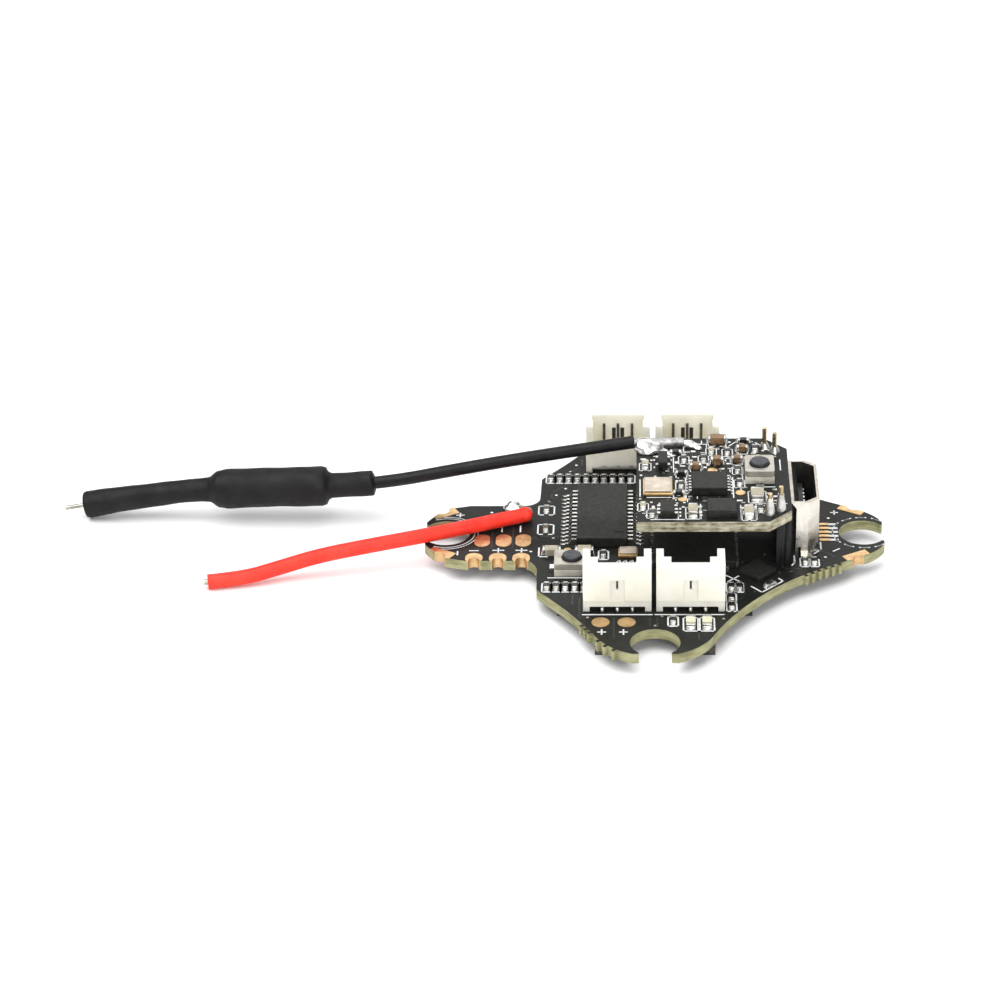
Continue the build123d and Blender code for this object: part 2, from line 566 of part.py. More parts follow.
USB_FLOOR = 1.3                        # height of the insulator's foot
CONTACT_RISE, CONTACT_PITCH = 2.3, 0.65
TONGUE = (0.45, 4.4, 3.7)
TONGUE_X = USB_AT[0] - 0.26
with BuildPart() as usb_insulator:
    extrude(usb_layer(0, -USB_SHEET - 0.02), amount=USB_FLOOR)
    stand((TONGUE_X, USB_AT[1]), BOARD_TOP, TONGUE)
save(usb_insulator.part, "usb_insulator")
with BuildPart() as usb_contacts:
    for k in range(5):
        stand(
            (TONGUE_X + TONGUE[0] / 2 + 0.06, USB_AT[1] + (k - 2) * CONTACT_PITCH),
            BOARD_TOP + USB_FLOOR, (0.12, 0.3, CONTACT_RISE),
        )
save(usb_contacts.part, "usb_contacts")

header_mid = (HEADER_X[0] + HEADER_X[1]) / 2
header_length = HEADER_BACK - HEADER_FRONT
with BuildPart() as stack_header:
    stand(
        (header_mid, (HEADER_FRONT + HEADER_BACK) / 2), BOARD_TOP,
        (HEADER_X[1] - HEADER_X[0], header_length, VIDEO_BOTTOM - BOARD_TOP),
    )
    # grooves between the ways, and holes for the pins
    for k in range(8):
        y = HEADER_FRONT + 0.85 + k * HEADER_PITCH
        for x in HEADER_X:
            stand((x, y + HEADER_PITCH / 2), BOARD_TOP, (0.3, 0.3, 9), 0, Mode.SUBTRACT)
        stand((header_mid, y), BOARD_TOP, (0.4, 0.4, 9), 0, Mode.SUBTRACT)
    stand((header_mid, HEADER_FRONT), BOARD_TOP, (0.35, 0.3, 9), 0, Mode.SUBTRACT)
save(stack_header.part, "stack_header")
with BuildPart() as header_pins:
    for k in range(8):
        y = HEADER_FRONT + 0.85 + k * HEADER_PITCH
        stand((header_mid, y), BOARD_TOP, (0.4, 0.4, VIDEO_BOTTOM - BOARD_TOP))
save(header_pins.part, "stack_header_pins")


# ---- Video board ----------------------------------------------------------------------------
POSTS_AT = [((9.65, 5.75), 1.9), ((10.5, 5.1), 1.75), ((9.7, -5.95), 1.9), ((10.65, -5.3), 2.2)]
POST_RADIUS = 0.2
with BuildPart() as video_board:
    with BuildSketch(Plane.XY.offset(VIDEO_BOTTOM)):
        with BuildLine():
            Polyline(
                (VIDEO_LEFT, -VIDEO_HALF), (VIDEO_RIGHT - VIDEO_CORNER, -VIDEO_HALF),
                (VIDEO_RIGHT, -VIDEO_HALF + VIDEO_CORNER), (VIDEO_RIGHT, VIDEO_HALF - VIDEO_CORNER),
                (VIDEO_RIGHT - VIDEO_CORNER, VIDEO_HALF), (VIDEO_LEFT, VIDEO_HALF), close=True,
            )
        make_face()
    extrude(amount=VIDEO_THICK)
    for at, _ in POSTS_AT:
        post(at, VIDEO_BOTTOM, POST_RADIUS, VIDEO_THICK, Mode.SUBTRACT)
save(video_board.part, "video_board")

with BuildPart() as video_pads:
    for at, radius in (((5.05, 1.55), 0.42), ((7.35, -2.42), 0.42), ((2.4, -3.55), 0.38)):
        post(at, VIDEO_TOP, radius, PLATING)
save(video_pads.part, "video_test_pads")

with BuildPart() as signal_posts:
    for at, height in POSTS_AT:
        post(at, VIDEO_BOTTOM, POST_RADIUS, VIDEO_THICK + height)
save(signal_posts.part, "signal_posts")
with BuildPart() as post_solder:
    for at, height in POSTS_AT:
        rise = 0.45 if at[1] > 0 else 1.5
        cone(at, VIDEO_TOP, 0.5, POST_RADIUS + 0.06, rise)
        post(at, VIDEO_TOP, POST_RADIUS, rise, Mode.SUBTRACT)
save(post_solder.part, "post_solder")


# ---- Aerial and wire ------------------------------------------------------------------------
def corner_radii(route):
    """The largest arc that each corner's two runs allow."""
    points = [Vector(*p) for p in route]
    radii = []
    for a, p, c in zip(points, points[1:], points[2:]):
        turn = radians((p - a).get_angle(c - p))
        radii.append(0.45 * min((p - a).length, (c - p).length) / tan(turn / 2))
    return radii


def tube(route, radius, name):
    """A round cord of straight runs joined by tangent arcs."""
    radii = corner_radii(route)
    print(name, "radii", [round(r, 1) for r in radii])
    with BuildPart() as cord:
        with BuildLine() as path:
            FilletPolyline(*route, radius=radii)
        line = path.wires()[0]
        with BuildSketch(Plane(origin=line @ 0, z_dir=line % 0)):
            Circle(radius)
        sweep()
    share = cord.part.volume / (pi * radius**2 * line.length)
    print(name, "length", round(line.length, 2), "volume share", round(share, 4))
    return cord.part, line


coax, coax_line = tube(COAX_ROUTE, COAX_RADIUS, "aerial coax")
save(coax, "aerial_coax")

# heat-shrink sleeve: thin where it grips the coax, thick over the joint, open at its far end
end_along = coax_line % 1
end_point = coax_line @ 1
SLEEVE_PROFILE = [(23.35, 1.12), (27.2, 1.12), (27.8, 1.76), (36.7, 1.76), (38.3, 1.06), (44.5, 1.08)]
SLEEVE_END_RADIUS, SLEEVE_PAST = 1.2, 1.2
with BuildPart() as aerial_sleeve:
    for along, radius in SLEEVE_PROFILE:
        u = along / coax_line.length
        with BuildSketch(Plane(origin=coax_line @ u, z_dir=coax_line % u)):
            Circle(radius)
    with BuildSketch(Plane(origin=end_point + end_along * SLEEVE_PAST, z_dir=end_along)):
        Circle(SLEEVE_END_RADIUS)
    loft(ruled=True)
    add(coax, mode=Mode.SUBTRACT)
    with BuildSketch(Plane(origin=end_point, z_dir=end_along)):
        Circle(SLEEVE_END_RADIUS - 0.3)
    extrude(amount=SLEEVE_PAST + 0.1, mode=Mode.SUBTRACT)
save(aerial_sleeve.part, "aerial_sleeve")

with BuildPart() as aerial_tip:
    with BuildSketch(Plane(origin=end_point, z_dir=end_along)):
        Circle(TIP_RADIUS)
    extrude(amount=TIP_LENGTH)
save(aerial_tip.part, "aerial_tip")

# stripped end of the coax on the video board, with its two solder joints
CORE_FROM, CORE_TO = Vector(-1.72, 5.48, 8.10), Vector(2.6, 6.0, 7.85)
with BuildPart() as aerial_core:
    with BuildSketch(Plane(origin=CORE_FROM, z_dir=CORE_TO - CORE_FROM)):
        Circle(CORE_RADIUS)
    extrude(amount=(CORE_TO - CORE_FROM).length)
save(aerial_core.part, "aerial_core")
with BuildPart() as aerial_solder:
    with BuildSketch(Plane.XY.offset(VIDEO_TOP)):
        with Locations((-0.42, 5.45)):
            Ellipse(1.2, 1.15)
        with Locations((3.3, 6.0)):
            Ellipse(0.75, 0.6)
    extrude(amount=1.15)
    fillet(aerial_solder.faces().filter_by(Axis.Z).sort_by(Axis.Z)[-2:].edges(), 0.45)
    add(aerial_core.part, mode=Mode.SUBTRACT)
    add(coax, mode=Mode.SUBTRACT)
save(aerial_solder.part, "aerial_solder")

red_wire, wire_line = tube(WIRE_ROUTE, WIRE_RADIUS, "power wire")
save(red_wire, "power_wire")
with BuildPart() as wire_tip:
    with BuildSketch(Plane(origin=wire_line @ 1, z_dir=wire_line % 1)):
        Circle(CONDUCTOR_RADIUS)
    extrude(amount=0.35)
save(wire_tip.part, "power_wire_tip")
HOOK = [(-11.2, 1.90, 2.86), (-10.72, 2.12, 2.86), (-10.9, 2.95, 2.72), (-11.75, 3.55, 2.55)]
with BuildPart() as wire_hook:
    with BuildLine() as hook:
        FilletPolyline(*HOOK, radius=[0.28, 0.3])
    with BuildSketch(Plane(origin=hook.wires()[0] @ 0, z_dir=hook.wires()[0] % 0)):
        Circle(CONDUCTOR_RADIUS)
    sweep()
save(wire_hook.part, "power_wire_hook")
with BuildPart() as wire_solder:
    with BuildSketch(Plane.XY.offset(BOARD_TOP)):
        with Locations((-12.3, 3.9)):
            Ellipse(1.0, 0.85)
    extrude(amount=0.95)
    fillet(wire_solder.faces().sort_by(Axis.Z)[-1].edges(), 0.7)
    add(wire_hook.part, mode=Mode.SUBTRACT)
save(wire_solder.part, "power_wire_solder")
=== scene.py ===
import math
import random

import bmesh
import bpy
from mathutils import Matrix, Vector


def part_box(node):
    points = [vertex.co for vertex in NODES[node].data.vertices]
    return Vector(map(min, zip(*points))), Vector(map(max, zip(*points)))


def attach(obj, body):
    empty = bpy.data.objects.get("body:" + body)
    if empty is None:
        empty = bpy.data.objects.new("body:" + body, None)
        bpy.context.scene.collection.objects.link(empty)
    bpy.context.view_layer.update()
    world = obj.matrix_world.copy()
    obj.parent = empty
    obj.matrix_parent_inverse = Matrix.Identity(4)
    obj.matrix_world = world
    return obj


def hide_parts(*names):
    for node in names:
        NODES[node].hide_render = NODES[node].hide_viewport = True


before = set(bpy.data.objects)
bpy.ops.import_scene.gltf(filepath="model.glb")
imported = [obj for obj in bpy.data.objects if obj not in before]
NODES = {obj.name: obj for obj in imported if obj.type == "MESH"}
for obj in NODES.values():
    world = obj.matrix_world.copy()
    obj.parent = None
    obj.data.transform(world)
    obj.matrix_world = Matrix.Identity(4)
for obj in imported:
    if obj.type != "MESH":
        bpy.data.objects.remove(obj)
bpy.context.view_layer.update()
MM = 0.001
BOARD = "board"
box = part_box
TOP = box("main_board")[1].z / MM          # upper face of the main board, in mm
VTOP = box("video_board")[1].z / MM        # upper face of the video board
KEY, FILL, BACK, WORLD = 7.2, 3.8, 1.8, 0.9    # powers of the lights, strength of the surroundings
HOUSINGS = [f"motor_connector_{n}" for n in ("front_left", "front_right", "rear_left", "rear_right")]
random.seed(11)


# ---- Camera --------------------------------------------------------------------------------
SENSOR_WIDTH = 36
FOCAL_LENGTHS_WIDE = 3.24984              # focal length over the width of the view
TARGET = (-13.57 * MM, 5.87 * MM, TOP * MM)
AZIMUTH, ELEVATION, ROLL, DISTANCE = -2.75, 29.27, -1.46, 287.51 * MM


def look_from(target, azimuth, elevation, roll, distance):
    """A camera's place and turn; azimuth 0 looks along +Y. Angles are in degrees."""
    az, el, ro = (math.radians(v) for v in (azimuth, elevation, roll))
    ahead = Vector((math.sin(az) * math.cos(el), math.cos(az) * math.cos(el), -math.sin(el)))
    right = Vector((math.cos(az), -math.sin(az), 0))
    up = right.cross(ahead)
    rolled_right = right * math.cos(ro) + up * math.sin(ro)
    rolled_up = up * math.cos(ro) - right * math.sin(ro)
    place = Vector(target) - ahead * distance
    m = Matrix((rolled_right, rolled_up, -ahead)).transposed().to_4x4()
    m.translation = place
    return m


cam_data = bpy.data.cameras.new("camera")
cam = bpy.data.objects.new("camera", cam_data)
bpy.context.scene.collection.objects.link(cam)
cam_data.sensor_width = SENSOR_WIDTH
cam_data.lens = FOCAL_LENGTHS_WIDE * SENSOR_WIDTH
cam_data.clip_start = 0.01
cam_data.clip_end = 20
cam.matrix_world = look_from(TARGET, AZIMUTH, ELEVATION, ROLL, DISTANCE)
bpy.context.scene.camera = cam


# ---- Materials -----------------------------------------------------------------------------
class Mat:
    """A node material: a Principled shader and small helpers that build its inputs."""

    def __init__(self, name, rough=0.5, metal=0.0, spec=0.5, glow=0.0):
        self.mat = bpy.data.materials.new(name)
        self.mat.use_nodes = True
        self.nodes = self.mat.node_tree.nodes
        self.links = self.mat.node_tree.links
        self.nodes.clear()
        self.out = self.nodes.new("ShaderNodeOutputMaterial")
        self.bsdf = self.nodes.new("ShaderNodeBsdfPrincipled")
        self.links.new(self.bsdf.outputs[0], self.out.inputs[0])
        self.set("Roughness", rough)
        self.set("Metallic", metal)
        self.set("Specular IOR Level", spec)
        if glow:                       # light that spreads inside a pale plastic
            self.set("Subsurface Weight", glow)
            self.set("Subsurface Radius", (1.0, 0.9, 0.7))
            self.set("Subsurface Scale", 0.0012)
        self.coord = self.nodes.new("ShaderNodeTexCoord").outputs["Object"]

    def set(self, socket, value):
        self.bsdf.inputs[socket].default_value = value

    def link(self, output, socket):
        self.links.new(output, self.bsdf.inputs[socket])

    def scaled(self, scale):
        n = self.nodes.new("ShaderNodeMapping")
        n.inputs["Scale"].default_value = scale
        self.links.new(self.coord, n.inputs[0])
        return n.outputs[0]

    def noise(self, scale, detail=3, rough=0.55, stretch=(1, 1, 1)):
        """Noise with about scale features per metre."""
        n = self.nodes.new("ShaderNodeTexNoise")
        n.inputs["Scale"].default_value = 1
        n.inputs["Detail"].default_value = detail
        n.inputs["Roughness"].default_value = rough
        self.links.new(self.scaled(tuple(scale * s for s in stretch)), n.inputs["Vector"])
        return n.outputs["Fac"]

    def ramp(self, fac, stops):
        n = self.nodes.new("ShaderNodeValToRGB")
        ramp = n.color_ramp
        for i, (at, color) in enumerate(stops):
            el = ramp.elements[i] if i < 2 else ramp.elements.new(at)
            el.position = at
            el.color = (*color, 1) if len(color) == 3 else color
        self.links.new(fac, n.inputs[0])
        return n.outputs["Color"]

    def span(self, fac, low, high, from_low=0.0, from_high=1.0):
        n = self.nodes.new("ShaderNodeMapRange")
        n.inputs["From Min"].default_value = from_low
        n.inputs["From Max"].default_value = from_high
        n.inputs["To Min"].default_value = low
        n.inputs["To Max"].default_value = high
        self.links.new(fac, n.inputs["Value"])
        return n.outputs[0]

    def mix(self, fac, a, b):
        n = self.nodes.new("ShaderNodeMix")
        n.data_type = "RGBA"
        for socket, value in ((n.inputs[0], fac), (n.inputs[6], a), (n.inputs[7], b)):
            if isinstance(value, bpy.types.NodeSocket):
                self.links.new(value, socket)
            elif isinstance(value, (int, float)):
                socket.default_value = value
            else:
                socket.default_value = (*value, 1)
        return n.outputs[2]

    def math(self, op, a, b=None, clamp=False):
        n = self.nodes.new("ShaderNodeMath")
        n.operation = op
        n.use_clamp = clamp
        for socket, value in zip(n.inputs, (a, b)):
            if value is None:
                continue
            if isinstance(value, bpy.types.NodeSocket):
                self.links.new(value, socket)
            else:
                socket.default_value = value
        return n.outputs[0]

    def axis(self, vector, name):
        n = self.nodes.new("ShaderNodeSeparateXYZ")
        self.links.new(vector, n.inputs[0])
        return n.outputs[name]

    def normal_z(self):
        n = self.nodes.new("ShaderNodeNewGeometry")
        return self.axis(n.outputs["Normal"], "Z")

    def bump(self, height, distance, strength=1.0):
        n = self.nodes.new("ShaderNodeBump")
        n.inputs["Strength"].default_value = strength
        n.inputs["Distance"].default_value = distance
        self.links.new(height, n.inputs["Height"])
        self.links.new(n.outputs[0], self.bsdf.inputs["Normal"])


def shaded(name, dark, light, scale, rough, metal=0.0, bump=0.0, bump_scale=None, rough_span=0.1, **kw):
    """A material whose colour, roughness and height vary with noise. Scales are per metre."""
    m = Mat(name, rough=rough, metal=metal, **kw)
    cloud = m.noise(scale, detail=4)
    m.link(m.ramp(cloud, [(0.3, dark), (0.72, light)]), "Base Color")
    m.link(m.span(m.noise(scale * 2.3), rough - rough_span, rough + rough_span, 0.3, 0.7), "Roughness")
    if bump:
        m.bump(m.noise(bump_scale or scale * 4, detail=5), bump)
    return m.mat


MATS = {
    "gold": shaded("gold_plate", (0.48, 0.31, 0.15), (0.70, 0.48, 0.25), 1500, 0.36, 0.9, 0.000008),
    "tin": shaded("solder_tin", (0.38, 0.37, 0.35), (0.72, 0.71, 0.67), 1400, 0.28, 1.0, 0.000008),
    "steel": shaded("shell_steel", (0.60, 0.57, 0.51), (0.74, 0.71, 0.65), 500, 0.3, 1.0, 0.000004),
    "cover": shaded("switch_cover", (0.36, 0.34, 0.30), (0.52, 0.49, 0.43), 900, 0.42, 0.7, 0.000004),
    "core": shaded("dielectric", (0.05, 0.045, 0.045), (0.75, 0.74, 0.72),
                   1500, 0.25, 0.3, 0.00001, 3000),
    "chip": shaded("chip_resin", (0.010, 0.010, 0.009), (0.024, 0.024, 0.021),
                   2600, 0.45, 0, 0.000008, 9000, spec=0.2),
    "black": shaded("black_plastic", (0.006, 0.006, 0.007), (0.014, 0.014, 0.015),
                    1800, 0.4, 0, 0.000008, 7000, spec=0.3),
    "nylon": shaded("connector_nylon", (0.78, 0.75, 0.64), (0.85, 0.83, 0.73),
                    700, 0.5, 0, 0.000006, 5000, spec=0.3, glow=0.45),
    "cream": shaded("cream_nylon", (0.42, 0.40, 0.33), (0.56, 0.53, 0.45),
                    900, 0.5, 0, 0.000008, 5000, spec=0.3),
    "brown": shaded("brown_ceramic", (0.14, 0.075, 0.035), (0.30, 0.18, 0.09),
                    2500, 0.35, 0, 0.000006, 8000, spec=0.3),
    "pale": shaded("pale_ceramic", (0.30, 0.27, 0.19), (0.46, 0.42, 0.32),
                   2500, 0.4, 0, 0.000006, 8000, spec=0.3),
    "olive": shaded("olive_ceramic", (0.055, 0.045, 0.025), (0.13, 0.11, 0.07),
                    2500, 0.35, 0, 0.000006, 8000, spec=0.3),
    "resistor": shaded("dark_ceramic", (0.008, 0.008, 0.009), (0.022, 0.022, 0.022),
                       3500, 0.3, 0, 0.000006, 8000, spec=0.3),
    "tray": shaded("crystal_tray", (0.5, 0.33, 0.14), (0.75, 0.52, 0.25), 1800, 0.35, 0.8),
    "lid": shaded("crystal_lid", (0.42, 0.36, 0.29), (0.62, 0.55, 0.46), 900, 0.38, 0.8, 0.000003),
    "led": shaded("led_resin", (0.5, 0.5, 0.34), (0.66, 0.68, 0.5), 2500, 0.2),
    "button": shaded("button_plastic", (0.012, 0.013, 0.016), (0.03, 0.033, 0.04),
                     1500, 0.35, 0, 0.000006, 6000, spec=0.4),
    "brass": shaded("brass_pin", (0.3, 0.24, 0.14), (0.55, 0.46, 0.28), 2000, 0.3, 1.0),
    "pin": shaded("dull_pin", (0.05, 0.05, 0.05), (0.16, 0.15, 0.13), 2000, 0.35, 0.8),
    "jacket": shaded("coax_jacket", (0.004, 0.004, 0.004), (0.010, 0.010, 0.010),
                     900, 0.42, 0, 0.000015, 2500, spec=0.22),
    "sleeve": shaded("sleeve_rubber", (0.005, 0.005, 0.005), (0.012, 0.012, 0.012),
                     500, 0.5, 0, 0.00003, 700, spec=0.18),
    "red": shaded("red_silicone", (0.82, 0.026, 0.014), (0.94, 0.05, 0.028),
                  500, 0.45, 0, 0.00003, 900, spec=0.25),
    "ink": shaded("white_ink", (0.66, 0.68, 0.69), (0.8, 0.82, 0.83), 3000, 0.6, 0, 0.000004, spec=0.2),
    "track": shaded("masked_copper", (0.018, 0.020, 0.017), (0.03, 0.032, 0.027), 1200, 0.4, 0, spec=0.2),
    "shiny": shaded("fresh_solder", (0.62, 0.61, 0.58), (0.90, 0.89, 0.86),
                    900, 0.27, 1.0, 0.000015, 1300, rough_span=0.08),
    "wire": shaded("tinned_wire", (0.30, 0.29, 0.26), (0.52, 0.50, 0.46), 2200, 0.3, 1.0, 0.000008),
}


def board_material(name, fibre_dark, fibre_light, mottle):
    """Solder mask above and below, layered glass fibre round the edge."""
    m = Mat(name, rough=0.42, spec=0.14)
    edge = m.math("LESS_THAN", m.math("ABSOLUTE", m.normal_z()), 0.5)
    cloud = m.ramp(m.noise(700, 4), [(0.3, (0.007, 0.008, 0.007)), (0.75, (0.016, 0.017, 0.014))])
    layers = m.noise(1.0, 2, stretch=(300, 300, 5200))
    spots = m.noise(mottle, 3, stretch=(1, 1, 1.6))
    both = m.math("ADD", m.math("MULTIPLY", layers, 0.5), m.math("MULTIPLY", spots, 0.5))
    m.link(m.mix(edge, cloud, m.ramp(both, [(0.38, fibre_dark), (0.6, fibre_light)])), "Base Color")
    m.link(m.span(edge, 0.42, 0.65), "Roughness")
    m.bump(m.noise(2500, 4), 0.000008)
    return m.mat


MATS["board"] = board_material("solder_mask", (0.19, 0.185, 0.09), (0.36, 0.35, 0.20), 900)
MATS["upper_board"] = board_material("upper_mask", (0.13, 0.115, 0.065), (0.52, 0.49, 0.37), 1400)
USES = {
    "board": ["main_board"],
    "upper_board": ["video_board"],
    "gold": ["board_pads", "power_pads", "video_test_pads"],
    "chip": ["osd_chip", "mcu_chip", "gyro_chip", "rf_amplifier", "small_chips", "video_chip",
             "power_transistors", "speed_controller_chips"],
    "tin": ["osd_leads", "mcu_leads", "small_chip_leads", "video_chip_leads", "switch_tabs",
            "aerial_solder", "post_solder", "power_wire_solder", "resistor_ends", "capacitor_ends",
            "led_ends", "usb_contacts"],
    "resistor": ["resistor_bodies"],
    "brown": ["capacitor_bodies", "power_capacitor_bodies"],
    "tray": ["crystal_trays"],
    "lid": ["crystal_lids"],
    "led": ["led_lenses"],
    "cream": ["boot_switch_base", "video_switch_base"],
    "steel": ["usb_shell"],
    "cover": ["boot_switch_cover", "video_switch_cover", "boot_switch_dome", "video_switch_dome"],
    "button": ["boot_button", "video_button"],
    "nylon": HOUSINGS,
    "brass": ["signal_posts", "stack_header_pins"],
    "pin": ["power_capacitor_ends", "motor_pins_front_left", "motor_pins_front_right",
            "motor_pins_rear_left", "motor_pins_rear_right"],
    "black": ["usb_insulator", "stack_header"],
    "sleeve": ["aerial_sleeve"],
    "core": ["aerial_core"],
    "wire": ["aerial_tip", "power_wire_tip", "power_wire_hook"],
}
for key, names in USES.items():
    for name in names:
        NODES[name].data.materials.clear()
        NODES[name].data.materials.append(MATS[key])


# ---- Cords ---------------------------------------------------------------------------------
def cord_curve(name, route, radius, material):
    """A free cord: one smooth curve with the route's points, in mm, as its control points."""
    data = bpy.data.curves.new(name, "CURVE")
    data.dimensions = "3D"
    data.bevel_depth = radius * MM
    data.bevel_resolution = 6
    data.resolution_u = 10
    data.use_fill_caps = True
    spline = data.splines.new("NURBS")
    spline.points.add(len(route) - 1)
    for point, place in zip(spline.points, route):
        point.co = (*(v * MM for v in place), 1)
    spline.order_u = 3
    spline.use_endpoint_u = True
    data.materials.append(material)
    obj = bpy.data.objects.new(name, data)
    bpy.context.scene.collection.objects.link(obj)
    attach(obj, BOARD)
    return obj


COAX_RADIUS, WIRE_RADIUS = 0.565, 0.65
COAX_ROUTE = [
    (-1.72, 5.48, 8.10), (-8.0, 5.64, 7.02), (-16.0, 5.86, 5.48), (-24.3, 6.08, 3.62),
    (-32.5, 6.27, 3.25), (-40.0, 6.45, 2.95), (-45.8, 6.60, 2.14), (-49.4, 6.68, 1.46),
]
WIRE_ROUTE = [
    (-11.2, 1.90, 2.86), (-15.2, 0.15, 2.84), (-19.8, -1.72, 2.84), (-24.4, -2.88, 2.54),
    (-28.9, -3.68, 1.98), (-32.3, -4.40, 1.20), (-35.3, -5.35, 0.72), (-38.3, -5.80, 0.66),
]
coax = cord_curve("aerial_coax_cord", COAX_ROUTE, COAX_RADIUS, MATS["jacket"])
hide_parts("aerial_coax")
wire = cord_curve("power_wire_cord", WIRE_ROUTE, WIRE_RADIUS, MATS["red"])
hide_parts("power_wire")


# ---- Small detail on the boards --------------------------------------------------------------
def new_piece(name, bm, material, smooth=True):
    """Make a piece of the board from a bmesh, with its material, hung on the board's body."""
    mesh = bpy.data.meshes.new(name)
    bmesh.ops.recalc_face_normals(bm, faces=bm.faces)
    bm.to_mesh(mesh)
    bm.free()
    for poly in mesh.polygons:
        poly.use_smooth = smooth
    mesh.materials.append(material)
    obj = bpy.data.objects.new(name, mesh)
    bpy.context.scene.collection.objects.link(obj)
    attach(obj, BOARD)
    return obj


def islands(node):
    """The (lowest, highest) corners of each separate solid in a CAD node, in mm."""
    mesh = NODES[node].data
    keys = [tuple(round(c / MM, 3) for c in v.co) for v in mesh.vertices]
    parent = {k: k for k in keys}

    def root(k):
        while parent[k] != k:
            parent[k] = parent[parent[k]]
            k = parent[k]
        return k

    for poly in mesh.polygons:
        first = root(keys[poly.vertices[0]])
        for i in poly.vertices[1:]:
            parent[root(keys[i])] = first
    groups = {}
    for k in parent:
        groups.setdefault(root(k), []).append(k)
    found = []
    for pts in groups.values():
        found.append((Vector(map(min, zip(*pts))), Vector(map(max, zip(*pts)))))
    return sorted(found, key=lambda b: (round(b[0].z, 2), round(b[0].x, 2), round(b[0].y, 2)))


def slab(bm, corners, low, high):
    """A flat prism over a convex outline, all in mm."""
    under = [bm.verts.new((x * MM, y * MM, low * MM)) for x, y in corners]
    over = [bm.verts.new((x * MM, y * MM, high * MM)) for x, y in corners]
    bm.faces.new(list(reversed(under)))
    bm.faces.new(over)
    n = len(corners)
    for i in range(n):
        bm.faces.new((under[i], under[(i + 1) % n], over[(i + 1) % n], over[i]))


INK = 0.014                            # thickness of the printing, in mm


def stroke(bm, points, width, z, closed=False):
    """A printed line of the given width through points on a board, in mm."""
    points = [Vector(p) for p in points]
    pairs = list(zip(points, points[1:] + points[:1] if closed else points[1:]))
    for a, b in pairs:
        along = (b - a).normalized() * (width / 2)
        side = Vector((-along.y, along.x))
        slab(bm, [a - along - side, b + along - side, b + along + side, a - along + side], z, z + INK)


def frame_round(bm, x, y, half_x, half_y, width, z, gap=0.0):
    """A printed frame, with gaps in the middle of its ends if gap is above 0."""
    if gap <= 0:
        corners = [
            (x - half_x, y - half_y), (x + half_x, y - half_y),
            (x + half_x, y + half_y), (x - half_x, y + half_y),
        ]
        stroke(bm, corners, width, z, closed=True)
        return
    for side in (-1, 1):
        stroke(bm, [
            (x + side * gap, y - half_y), (x + side * half_x, y - half_y),
            (x + side * half_x, y + half_y), (x + side * gap, y + half_y),
        ], width, z)


def arc_points(x, y, radius, start, end, n):
    """n points on an arc round (x, y), from one angle to another in degrees."""
    angles = [math.radians(start + (end - start) * k / (n - 1)) for k in range(n)]
    return [(x + radius * math.cos(a), y + radius * math.sin(a)) for a in angles]


def cross(bm, x, y, half_x, half_y):
    """A printed plus mark on the main board."""
    stroke(bm, [(x - half_x, y), (x + half_x, y)], LINE, TOP)
    stroke(bm, [(x, y - half_y), (x, y + half_y)], LINE, TOP)


LINE = 0.13                            # widths of printed lines, in mm
RING_LINE = 0.09
RES = islands("resistor_bodies")
CAP = islands("capacitor_bodies")
LED = islands("led_lenses")


def middle(b):
    return (b[0] + b[1]) / 2


# printing on the main board: frames round parts, lines, rings, and + and - marks
NOTCH = 18.03                          # the side notches' distance from the middle
OLIVE_CAPACITORS = [(-9.4, 3.95, 0.78), (-9.4, 0.6, 0.85)]        # place, half length of its frame
BOARD_LINES = [
    [(-9.0, -7.65), (-5.9, -7.65)],
    [(14.3, -1.7), (14.3, -2.9), (13.7, -3.6)],
    [(11.95, -4.0), (11.95, -5.1), (11.7, -5.6)],
    [(8.15, -9.1), (9.0, -10.05), (10.85, -8.2), (10.5, -7.8)],
    [(6.1, -7.3), (7.2, -8.3)],
    [(6.2, -8.3), (7.1, -7.4)],
    [(-9.9, -2.6), (-9.9, -4.1), (-9.2, -4.1)],
]
MINUS_MARKS = [
    [(15.35, -3.2), (15.85, -2.8)],
    [(-16.9, -3.75), (-16.9, -3.2)],
    [(-15.85, -3.05), (-15.15, -3.05)],
]
FRONT_LINE_Y, REAR_LINE_Y = -13.65, 13.95
SMALL_PART_FROM_Y, END_ROW_BEFORE_X = 9, -1        # the rows of narrow resistors

bm = bmesh.new()
for lo, hi in RES:
    if lo.z < VTOP - 1:
        c = middle((lo, hi))
        narrow = abs(c.y) > SMALL_PART_FROM_Y and c.x < END_ROW_BEFORE_X
        frame_round(bm, c.x, c.y, 0.395 if narrow else 0.42, 0.74, LINE, TOP)
for lo, hi in LED:
    c = middle((lo, hi))
    frame_round(bm, c.x, c.y, 0.6, 1.05, LINE, TOP)
for x, y, half_y in OLIVE_CAPACITORS:
    frame_round(bm, x, y, 0.68, half_y, LINE, TOP, gap=0.28)
for x0, x1 in ((-6.0, -0.25), (0.05, 5.8)):
    stroke(bm, [(x0, FRONT_LINE_Y), (x1, FRONT_LINE_Y)], LINE, TOP)
    stroke(bm, [(x0, REAR_LINE_Y), (x1, REAR_LINE_Y)], LINE, TOP)
for points in BOARD_LINES:
    stroke(bm, points, LINE, TOP)
DASHES, FIRST_DASH, DASH_STEP, DASH = 9, 51, 30, 18        # ring by the right notch, in degrees
for k in range(DASHES):
    start = FIRST_DASH + k * DASH_STEP
    stroke(bm, arc_points(NOTCH, 0, 2.62, start, start + DASH, 6), LINE, TOP)
for radius, half_turn, n in ((2.5, 112, 40), (2.78, 96, 36)):        # rings by the left notch
    stroke(bm, arc_points(-NOTCH, 0, radius, -half_turn, half_turn, n), RING_LINE, TOP)
cross(bm, 15.75, 3.5, 0.28, 0.28)
cross(bm, -16.95, 3.15, 0.3, 0.3)
for points in MINUS_MARKS:
    stroke(bm, points, LINE, TOP)
